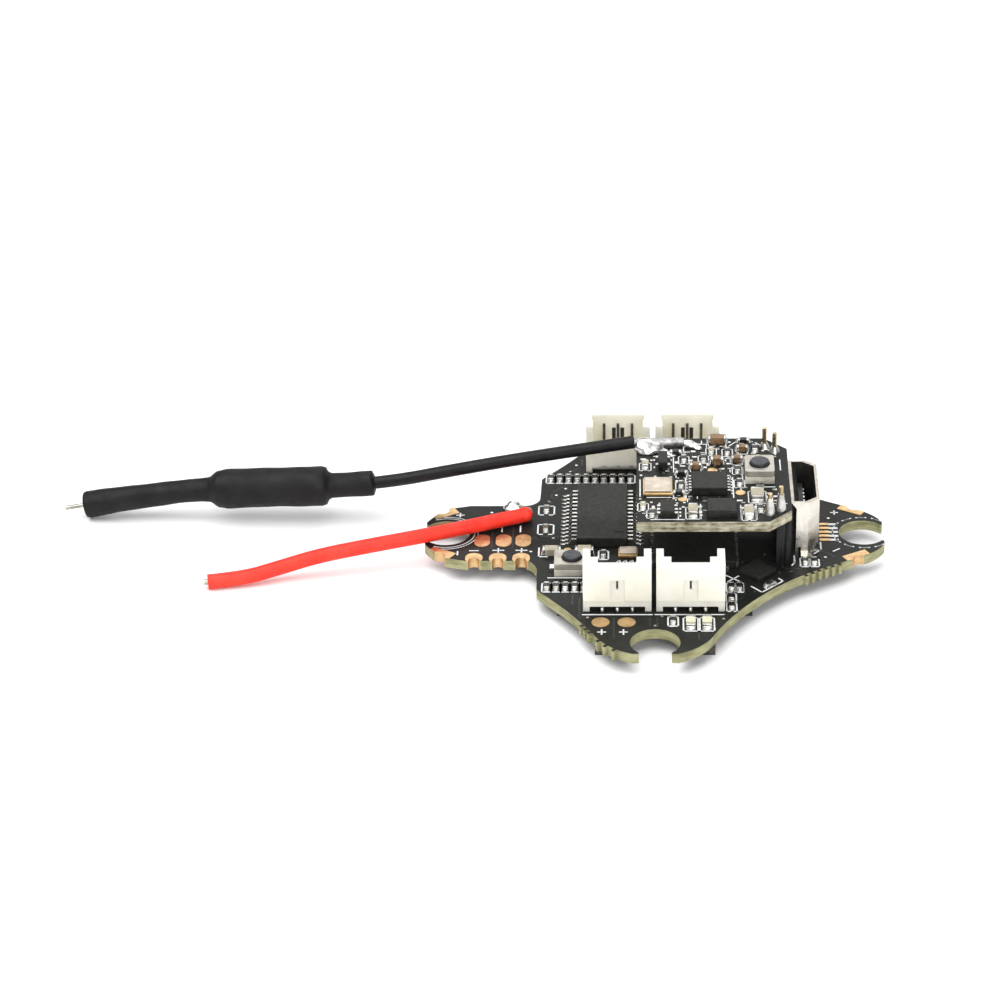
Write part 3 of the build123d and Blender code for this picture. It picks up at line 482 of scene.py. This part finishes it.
for y in (-1.25, -0.58, 0.09, 0.76, 1.43):
    stroke(bm, [(15.25, y), (15.75, y)], 0.3, TOP)
for x in (-13.4, -11.4):
    cross(bm, x, -3.0, 0.45, 0.3)
for x in (-4.4, -2.6):
    cross(bm, x, -16.4, 0.3, 0.35)
stroke(bm, [(-11.6, 0.2), (-11.6, 1.2)], LINE, TOP)
stroke(bm, [(-13.2, 0.25), (-13.2, 0.9)], LINE, TOP)
for k in range(4):                     # short marks behind the front connectors
    x = -3.2 + 0.55 * k
    stroke(bm, [(x, -5.0), (x + 0.25, -4.75), (x + 0.3, -5.05)], 0.1, TOP)
new_piece("main_board_printing", bm, MATS["ink"], smooth=False)

# printing on the video board: frames round most chip parts, lines, and short scattered marks
FRAMED_SHARE = 0.8
BESIDE, BEYOND = 0.2, 0.42             # from a part to its frame, at its sides and ends
bm = bmesh.new()
for lo, hi in RES + CAP:
    if lo.z < VTOP - 1:
        continue
    c, size = middle((lo, hi)), hi - lo
    half_x = max(size.x / 2 + BESIDE, 0.42)
    half_y = size.y / 2 + BEYOND
    if random.random() < FRAMED_SHARE:
        gap = random.choice((0.0, 0.15, 0.25))
        frame_round(bm, c.x, c.y, half_x, half_y, RING_LINE, VTOP, gap=gap)
for x0, y0, x1, y1 in (
    (2.6, 6.9, 2.6, 4.9), (2.6, 4.9, 3.1, 4.9), (4.2, 6.9, 4.2, 6.3), (4.2, 6.3, 4.7, 6.3),
    (2.7, -3.3, 2.7, 0.2), (6.75, -3.3, 6.75, 0.3), (3.9, -6.9, 3.9, -4.4), (7.3, -6.9, 7.3, -4.6),
    (-0.6, -3.2, 1.4, -3.2), (-1.2, -0.1, -1.2, -3.0), (8.3, -1.4, 10.3, -1.4), (7.6, -0.9, 7.6, 2.2),
    (0.0, 4.1, 1.6, 4.1), (1.7, 1.2, 1.7, 3.9), (6.4, 1.9, 6.9, 1.9), (3.0, 0.6, 6.4, 0.6),
    (-0.3, -7.0, 2.5, -7.0), (8.6, -7.0, 8.6, -4.4), (8.9, 6.6, 10.6, 4.4), (6.6, 6.0, 7.4, 7.0),
    (2.0, -6.9, 2.0, -6.2), (9.9, -4.3, 11.2, -4.3), (10.9, 1.6, 10.9, 3.4), (6.0, 3.4, 6.6, 3.9),
):
    stroke(bm, [(x0, y0), (x1, y1)], 0.1, VTOP)
SCATTERED_MARKS = 46
for _ in range(SCATTERED_MARKS):
    x, y = random.uniform(-1.1, 8.2), random.uniform(-6.9, 6.8)
    turn = random.choice((0, 90))
    run = random.uniform(0.2, 0.6)
    dx, dy = (run, 0) if turn == 0 else (0, run)
    stroke(bm, [(x, y), (x + dx, y + dy)], 0.08, VTOP)
new_piece("video_board_printing", bm, MATS["ink"], smooth=False)

# small tinned pads between the parts of the video board
STANDING_ON_IT = (
    "resistor_bodies", "capacitor_bodies", "resistor_ends", "capacitor_ends", "small_chips",
    "small_chip_leads", "video_chip", "video_chip_leads", "rf_amplifier", "crystal_trays",
    "video_switch_base", "switch_tabs", "post_solder", "video_test_pads", "aerial_core",
)
PARTS_ON_TOP = [b for name in STANDING_ON_IT for b in islands(name) if b[1].z > VTOP - 0.1]
PAD_TRIES, PAD_COUNT = 900, 85
PAD_CLEARANCE, PAD_SPACING, PAD_HEIGHT = 0.06, 0.55, 0.03


def on_a_part(x, y, half_x, half_y):
    """Whether a pad at (x, y) would come too near a part of the video board."""
    w, h = half_x + PAD_CLEARANCE, half_y + PAD_CLEARANCE
    return any(lo.x - w < x < hi.x + w and lo.y - h < y < hi.y + h for lo, hi in PARTS_ON_TOP)


bm = bmesh.new()
dots = []
for _ in range(PAD_TRIES):
    x, y = random.uniform(-1.2, 10.8), random.uniform(-6.8, 6.8)
    if x < 1.6 and y > 3.6 or x > 7.9 and -1.8 < y < 3.2 or x + abs(y) > 15.6:
        continue
    w, h = random.choice(((0.13, 0.2), (0.2, 0.13), (0.1, 0.1), (0.24, 0.12)))
    if on_a_part(x, y, w, h):
        continue
    if any(math.hypot(x - u, y - v) < PAD_SPACING for u, v in dots):
        continue
    dots.append((x, y))
    outline = [(x - w, y - h), (x + w, y - h), (x + w, y + h), (x - w, y + h)]
    slab(bm, outline, VTOP, VTOP + PAD_HEIGHT)
    if len(dots) >= PAD_COUNT:
        break
new_piece("video_board_pads", bm, MATS["tin"], smooth=False)

# solder fillets at the ends of the chip parts, each in three steps
FILLET_REACH, FILLET_RISE, STRAIGHT = 0.17, 0.32, 0.95
FILLET_STEPS = ((1.0, 0.25), (0.66, 0.6), (0.36, 1.0))        # shares of the reach and of the rise
bm = bmesh.new()
for ends, bodies in (("resistor_ends", RES), ("capacitor_ends", CAP), ("led_ends", LED)):
    for lo, hi in islands(ends):
        c = middle((lo, hi))
        mate = min(bodies, key=lambda b: (middle(b) - c).length)
        way = middle(mate) - c
        way = Vector((-way.x, -way.y)).normalized()
        side = Vector((-way.y, way.x))
        size = hi - lo
        straight = max(abs(way.x), abs(way.y)) > STRAIGHT
        across = (size.y if abs(way.x) > 0.5 else size.x) if straight else 0.5
        out = (size.x if abs(way.x) > 0.5 else size.y) / 2 if straight else 0.12
        foot = Vector((c.x, c.y))
        rise = min(size.z * 0.75, FILLET_RISE)
        for share, height in FILLET_STEPS:
            a = foot + way * (out - 0.02)
            b = foot + way * (out + FILLET_REACH * share)
            w = side * (across / 2 + 0.05 * share)
            slab(bm, [a - w, b - w * 0.8, b + w * 0.8, a + w], lo.z, lo.z + rise * height)
OSD_MIDDLE = (box("osd_chip")[0] + box("osd_chip")[1]) / 2 / MM
LEAD_HALF_WIDTH, LEAD_SOLDER = 0.12, 0.05
for lo, hi in islands("osd_leads"):
    c = middle((lo, hi))
    if lo.z > TOP + 0.5:
        continue
    out = 1 if c.x > OSD_MIDDLE.x else -1
    toe = hi.x if out > 0 else lo.x
    ends = sorted((toe - out * 0.2, toe + out * 0.42))
    low_y, high_y = c.y - LEAD_HALF_WIDTH, c.y + LEAD_HALF_WIDTH
    outline = [(ends[0], low_y), (ends[1], low_y), (ends[1], high_y), (ends[0], high_y)]
    slab(bm, outline, TOP, TOP + LEAD_SOLDER)
new_piece("chip_part_solder", bm, MATS["tin"])

# rounded solder on the tails of the motor connectors
bm = bmesh.new()
PIN_PITCH, TAIL_SOLDER_RADIUS = 1.25, 0.19
for name in HOUSINGS:
    lo, hi = box(name)
    c = (lo + hi) / 2 / MM
    side = -1 if "front" in name else 1
    edge = (lo.y if side < 0 else hi.y) / MM
    for k in (-1, 0, 1):
        ball = bmesh.ops.create_uvsphere(bm, u_segments=14, v_segments=8, radius=TAIL_SOLDER_RADIUS * MM)
        bmesh.ops.scale(bm, vec=(1, 1.5, 1.3), verts=ball["verts"])
        place = Vector((c.x + k * PIN_PITCH, edge - side * 0.12, TOP + 0.2)) * MM
        bmesh.ops.translate(bm, vec=place, verts=ball["verts"])
new_piece("motor_tail_solder", bm, MATS["tin"])

# small plated holes scattered over the main board
bm = bmesh.new()
VIAS = [
    (-7.8, 7.9), (-8.6, 6.7), (-9.2, 5.6), (-8.7, -0.9), (-10.6, -3.2), (-11.8, 2.6), (-14.2, 3.6),
    (-15.6, 1.6), (-6.6, -7.95), (-4.9, -8.3), (-3.2, -7.9), (-1.0, -6.4), (1.4, -7.6), (3.2, -8.1),
    (5.0, -7.6), (7.5, -5.1), (7.3, -8.6), (9.4, -3.8), (10.6, -6.8), (11.6, -6.6), (14.6, -4.2),
    (13.9, 4.6), (15.2, 2.5), (13.2, 5.8), (8.2, 9.9), (6.4, 12.4), (-7.4, 11.0), (-6.9, 12.2),
    (0.0, -15.4), (4.9, -15.9), (-5.6, -14.1), (0.6, -13.9), (6.9, -13.1), (5.7, -14.3), (8.4, -9.9),
]
VIA_RADIUS, VIA_HEIGHT = 0.13, 0.012
for x, y in VIAS:
    slab(bm, arc_points(x, y, VIA_RADIUS, 0, 330, 12), TOP, TOP + VIA_HEIGHT)
new_piece("board_vias", bm, MATS["tin"], smooth=False)

# copper tracks that show through the solder mask as low ridges
bm = bmesh.new()
TRACKS = [
    [(-8.0, 8.2), (-9.0, 7.2), (-9.0, 5.2)], [(-8.4, 6.4), (-9.2, 5.6)],
    [(-10.4, 2.4), (-11.3, 2.4), (-12.4, 3.3)], [(-8.3, -0.6), (-10.0, -0.6), (-10.8, -1.3)],
    [(13.9, -2.8), (15.4, -4.1)], [(13.4, -3.9), (14.4, -4.8)],
    [(14.6, 2.4), (13.6, 3.4), (13.6, 4.9)], [(15.0, 2.6), (14.2, 3.4), (14.2, 5.0)],
    [(0.2, -14.2), (0.2, -15.6)], [(-0.4, -14.2), (-0.4, -15.5)], [(5.6, -13.9), (6.6, -13.0), (6.6, -11.2)],
    [(7.6, -8.4), (7.6, -10.6), (6.9, -11.4)], [(-7.4, 10.9), (-6.4, 11.9), (-6.4, 13.2)],
    [(-6.3, -14.2), (-6.3, -11.0)], [(-6.9, -12.0), (-6.9, -10.6)], [(7.2, 9.6), (8.8, 9.6), (9.8, 8.6)],
    [(7.0, 11.0), (8.2, 11.0)], [(-3.4, -14.2), (-3.4, -17.4)], [(3.6, -16.6), (3.6, -17.6)],
    [(12.4, -6.2), (10.9, -6.2), (10.9, -4.8)], [(-12.2, -2.6), (-12.2, 2.6)], [(-14.0, -2.5), (-14.0, 2.2)],
]
TRACK_WIDTH = 0.16
for track in TRACKS:
    stroke(bm, track, TRACK_WIDTH, TOP)
new_piece("board_tracks", bm, MATS["track"], smooth=False)


# ---- Solder joints of the cords ----------------------------------------------------------------
MELT_VOXEL = 0.055


def blob(name, balls):
    """Solder: balls (x, y, z, rx, ry, rz) in mm, melted together."""
    bm = bmesh.new()
    for x, y, z, rx, ry, rz in balls:
        ball = bmesh.ops.create_icosphere(bm, subdivisions=3, radius=1.0)
        bmesh.ops.scale(bm, vec=(rx * MM, ry * MM, rz * MM), verts=ball["verts"])
        bmesh.ops.translate(bm, vec=Vector((x, y, z)) * MM, verts=ball["verts"])
    obj = new_piece(name, bm, MATS["shiny"])
    melt = obj.modifiers.new("melt", "REMESH")
    melt.mode = "VOXEL"
    melt.voxel_size = MELT_VOXEL * MM
    melt.use_smooth_shade = True
    ease = obj.modifiers.new("ease", "SMOOTH")
    ease.factor, ease.iterations = 0.7, 22
    return obj


z = VTOP
coax_solder = blob("aerial_solder_joints", [
    (-0.75, 5.45, z + 0.32, 1.1, 1.1, 0.66), (-0.1, 5.35, z + 0.24, 1.0, 0.95, 0.55),
    (-1.15, 5.5, z + 0.5, 0.6, 0.72, 0.5), (0.35, 6.0, z + 0.3, 0.7, 0.5, 0.42),
    (-0.6, 4.75, z + 0.1, 0.8, 0.55, 0.32), (0.55, 4.95, z + 0.08, 0.8, 0.5, 0.26),
    (1.2, 4.55, z + 0.05, 0.55, 0.3, 0.16), (1.7, 4.25, z + 0.03, 0.35, 0.2, 0.1),
    (2.95, 6.0, z + 0.24, 0.7, 0.42, 0.36), (3.45, 5.8, z + 0.14, 0.6, 0.42, 0.26),
    (3.9, 5.5, z + 0.06, 0.4, 0.34, 0.16),
])
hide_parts("aerial_solder")
wire_blob = blob("power_wire_solder_joint", [
    (-12.3, 3.9, TOP + 0.3, 0.95, 0.8, 0.42), (-12.3, 3.95, TOP + 0.55, 0.62, 0.55, 0.42),
    (-11.85, 3.6, TOP + 0.35, 0.5, 0.45, 0.36), (-12.75, 4.1, TOP + 0.2, 0.5, 0.45, 0.25),
])
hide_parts("power_wire_solder")


# ---- Aerial sleeve -----------------------------------------------------------------------------
def spline_points(curve_obj):
    """Points along a cord's own line, in metres."""
    plain = curve_obj.data.copy()
    plain.bevel_depth = 0
    probe = bpy.data.objects.new("probe", plain)
    mesh = bpy.data.meshes.new_from_object(probe)
    points = [v.co.copy() for v in mesh.vertices]
    bpy.data.objects.remove(probe)
    bpy.data.meshes.remove(mesh)
    bpy.data.curves.remove(plain)
    return points


def along_line(points, distance):
    """The place and direction at a distance along points, running straight on past the end."""
    gone = 0.0
    for a, b in zip(points, points[1:]):
        step = (b - a).length
        if gone + step >= distance and step > 0:
            return a + (b - a) * ((distance - gone) / step), (b - a).normalized()
        gone += step
    way = (points[-1] - points[-2]).normalized()
    return points[-1] + way * (distance - gone), way


def smooth_radius(profile, at):
    """The radius at a distance, eased from one (distance, radius) of the profile to the next."""
    for (a, ra), (b, rb) in zip(profile, profile[1:]):
        if a <= at <= b:
            t = (at - a) / (b - a)
            t = t * t * (3 - 2 * t)
            return ra + (rb - ra) * t
    return profile[-1][1]


def skin(bm, loops):
    """Faces between rings of points, closed at both ends."""
    n = len(loops[0])
    for a, b in zip(loops, loops[1:]):
        for i in range(n):
            bm.faces.new((a[i], a[(i + 1) % n], b[(i + 1) % n], b[i]))
    bm.faces.new(loops[-1])
    bm.faces.new(list(reversed(loops[0])))


line = spline_points(coax)
total = sum((b - a).length for a, b in zip(line, line[1:])) / MM
SLEEVE_OUT = [
    (23.3, 0.72), (23.36, 1.06), (23.55, 1.12), (27.15, 1.10), (27.4, 1.22), (27.7, 1.68), (28.1, 1.78),
    (32.0, 1.74), (36.4, 1.77), (37.2, 1.66), (38.2, 1.1), (39.0, 1.03), (41.0, 1.03), (44.5, 1.08),
    (48.3, 1.18), (49.3, 1.22), (49.42, 1.18), (49.5, 1.08),
]
RINGS, SIDES = 150, 40
MOUTH_RINGS, MOUTH_DEPTH, MOUTH_RADIUS = 14, 1.6, 0.86
PAST_COAX = 1.2                        # how far the sleeve reaches past the coax
rings = []
start, stop = SLEEVE_OUT[0][0], min(SLEEVE_OUT[-1][0], total + PAST_COAX)
for k in range(RINGS + 1):
    at = start + (stop - start) * k / RINGS
    rings.append((at, smooth_radius(SLEEVE_OUT, at), 1))
for k in range(MOUTH_RINGS):           # the inside of the open end
    deep = k / (MOUTH_RINGS - 1)
    rings.append((stop - 0.05 - MOUTH_DEPTH * deep, MOUTH_RADIUS - 0.12 * deep, 0))
bm = bmesh.new()
loops = []
for at, radius, outside in rings:
    place, way = along_line(line, at * MM)
    u = way.cross(Vector((0, 0, 1))).normalized()
    v = u.cross(way).normalized()
    loop = []
    for i in range(SIDES):
        a = 2 * math.pi * i / SIDES
        wave = 0.018 * math.sin(3 * a + at * 0.9) + 0.014 * math.sin(2 * a - at * 2.1) if outside else 0
        r = (radius + wave) * MM
        loop.append(bm.verts.new(place + u * (r * math.cos(a)) + v * (r * math.sin(a))))
    loops.append(loop)
skin(bm, loops)
sleeve = new_piece("aerial_sleeve_skin", bm, MATS["sleeve"])
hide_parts("aerial_sleeve")


# ---- Painted shade inside the USB shell's opening, and a painted darker top on its rim -----------
# near-black painted shade, used for the inner walls of the USB shell and for the motor connectors' windows
MATS["mouth"] = shaded("mouth_shade", (0.012, 0.011, 0.010), (0.035, 0.033, 0.03), 1200, 0.5, 0.3)
# darker copy of the shell steel for the upward faces of its rim: painted shade on the top
MATS["lip"] = shaded("lip_steel", (0.34, 0.31, 0.27), (0.52, 0.49, 0.44), 900, 0.35, 1.0, 0.000004)
shell = NODES["usb_shell"].data
shell.materials.append(MATS["mouth"])
shell.materials.append(MATS["lip"])
shell_low, shell_high = (v / MM for v in box("usb_shell"))
shell_middle = (shell_low + shell_high) / 2
for poly in shell.polygons:
    c, n = poly.center / MM, poly.normal
    away = Vector((c.x - shell_middle.x, c.y - shell_middle.y))
    # upward faces at the very top: the darker steel, painted shade
    if n.z > 0.7 and c.z > shell_high.z - 0.1:
        poly.material_index = 2
    # inward faces of the walls higher than 0.9 mm over the board: near-black painted shade
    elif abs(n.z) < 0.9 and Vector((n.x, n.y)).dot(away) < 0 and c.z > TOP + 0.9:
        poly.material_index = 1


# ---- Painted shade in the windows beside the middle pin of the motor connectors --------------------
WALL_STEP, WINDOW_FROM_MIDDLE = 0.3, 0.375
for name in HOUSINGS:
    housing = NODES[name].data
    # the wall faces of the windows get the near-black painted shade, standing in for the shade inside the
    # openings
    housing.materials.append(MATS["mouth"])
    lo, hi = (v / MM for v in box(name))
    side = 1 if "rear" in name else -1
    wall = (hi.y if side > 0 else lo.y) - side * WALL_STEP
    for poly in housing.polygons:
        c = poly.center / MM
        aside = abs(c.x - (lo.x + hi.x) / 2) - WINDOW_FROM_MIDDLE
        if abs(c.y - wall) < 0.06 and abs(aside) < 0.1 and abs(poly.normal.y) > 0.9:
            poly.material_index = 1


# ---- Chip parts of other colours ----------------------------------------------------------------
def recolour(node, places, material, near=0.7):
    """Give the solids of a CAD node that stand at these places another material."""
    mesh = NODES[node].data
    mesh.materials.append(material)
    index = len(mesh.materials) - 1
    for poly in mesh.polygons:
        c = poly.center / MM
        if any(math.hypot(c.x - x, c.y - y) < near for x, y in places):
            poly.material_index = index


recolour("capacitor_bodies", [
    (3.25, -5.95), (7.95, -6.2), (8.75, -3.2), (-0.95, -4.9), (-0.75, 2.2), (5.0, 4.85),
    (-8.8, -3.55), (-6.0, -3.5),
], MATS["pale"])
recolour("capacitor_bodies", [(x, y) for x, y, _ in OLIVE_CAPACITORS], MATS["olive"])
recolour("capacitor_bodies", [(9.7, -9.0)], MATS["tin"], 0.9)


# ---- Softer edges on the CAD parts -------------------------------------------------------------
SHARP_ANGLE = math.radians(35)


def soften(names, width):
    """Round the sharp edges of CAD nodes by a width in mm."""
    for name in names:
        obj = NODES[name]
        weld = obj.modifiers.new("weld", "WELD")
        weld.merge_threshold = 0.000002
        bevel = obj.modifiers.new("bevel", "BEVEL")
        bevel.width = width * MM
        bevel.segments = 2
        bevel.limit_method = "ANGLE"
        bevel.angle_limit = SHARP_ANGLE
        bevel.use_clamp_overlap = True
        for poly in obj.data.polygons:
            poly.use_smooth = True
        flat = obj.modifiers.new("flat", "WEIGHTED_NORMAL")
        flat.keep_sharp = False


soften(HOUSINGS, 0.035)
soften(["gyro_chip", "rf_amplifier", "small_chips"], 0.06)
soften(["resistor_ends", "capacitor_ends", "led_ends"], 0.06)
soften(["boot_switch_base", "video_switch_base", "crystal_lids", "crystal_trays", "stack_header"], 0.04)


# ---- Wire end ----------------------------------------------------------------------------------
WIRE_END_STEPS = (                     # distance past the insulation's end, radius
    (-0.3, 0.655), (0.0, 0.66), (0.16, 0.655), (0.3, 0.60), (0.42, 0.50), (0.5, 0.36), (0.52, 0.2),
    (0.48, 0.1),
)
WIRE_END_SIDES = 32


def wire_end():
    """The rounded end of the red insulation, with a shallow pucker round the wire."""
    place = Vector(WIRE_ROUTE[0])
    way = (place - Vector(WIRE_ROUTE[1])).normalized()
    way = (way + Vector((0, 0.15, -0.35))).normalized()
    u = way.cross(Vector((0, 0, 1))).normalized()
    v = u.cross(way).normalized()
    bm = bmesh.new()
    loops = []
    for out, radius in WIRE_END_STEPS:
        loop = []
        for i in range(WIRE_END_SIDES):
            a = 2 * math.pi * i / WIRE_END_SIDES
            reach = radius * (1 + 0.015 * math.sin(3 * a + out * 4))
            point = place + way * out + u * (reach * math.cos(a)) + v * (reach * math.sin(a))
            loop.append(bm.verts.new(point * MM))
        loops.append(loop)
    skin(bm, loops)
    return new_piece("power_wire_round_end", bm, MATS["red"])


wire_cap = wire_end()


# ---- Stage ---------------------------------------------------------------------------------
def floor_material():
    m = Mat("floor", rough=0.6, spec=0.2)
    m.link(m.ramp(m.noise(30, 2), [(0.3, (0.93, 0.93, 0.93)), (0.7, (0.96, 0.96, 0.96))]), "Base Color")
    return m.mat


bm = bmesh.new()
bmesh.ops.create_grid(bm, x_segments=2, y_segments=2, size=3)
mesh = bpy.data.meshes.new("floor")
bm.to_mesh(mesh)
bm.free()
floor = bpy.data.objects.new("floor", mesh)
floor.data.materials.append(floor_material())
bpy.context.scene.collection.objects.link(floor)


def area_light(name, place, target, size, power):
    data = bpy.data.lights.new(name, "AREA")
    data.shape = "RECTANGLE"
    data.size, data.size_y = size
    data.energy = power
    obj = bpy.data.objects.new(name, data)
    bpy.context.scene.collection.objects.link(obj)
    obj.location = place
    obj.rotation_mode = "QUATERNION"
    obj.rotation_quaternion = (Vector(target) - Vector(place)).to_track_quat("-Z", "Y")


area_light("key", (-0.25, -0.15, 0.75), (0, 0, 0), (0.9, 0.9), KEY)
area_light("fill", (0.25, -0.75, 0.35), (0, 0, 0), (0.7, 0.4), FILL)
area_light("back", (0.1, 0.75, 0.55), (0, 0, 0), (0.7, 0.3), BACK)


def studio_world():
    """Pale at the horizon and overhead, dark in between, so that glossy tops stay dark."""
    world = bpy.data.worlds.new("studio")
    world.use_nodes = True
    nodes, links = world.node_tree.nodes, world.node_tree.links
    split = nodes.new("ShaderNodeSeparateXYZ")
    links.new(nodes.new("ShaderNodeTexCoord").outputs["Generated"], split.inputs[0])
    ramp = nodes.new("ShaderNodeValToRGB")
    stops = ((0.0, 0.95), (0.12, 0.9), (0.26, 0.2), (0.62, 0.2), (0.82, 1.0), (1.0, 1.1))
    for i, (at, level) in enumerate(stops):
        el = ramp.color_ramp.elements[i] if i < 2 else ramp.color_ramp.elements.new(at)
        el.position = at
        el.color = (level, level, level, 1)
    links.new(split.outputs["Z"], ramp.inputs[0])
    links.new(ramp.outputs[0], nodes["Background"].inputs[0])
    nodes["Background"].inputs[1].default_value = WORLD
    bpy.context.scene.world = world


studio_world()
bpy.context.scene.view_settings.view_transform = "Standard"
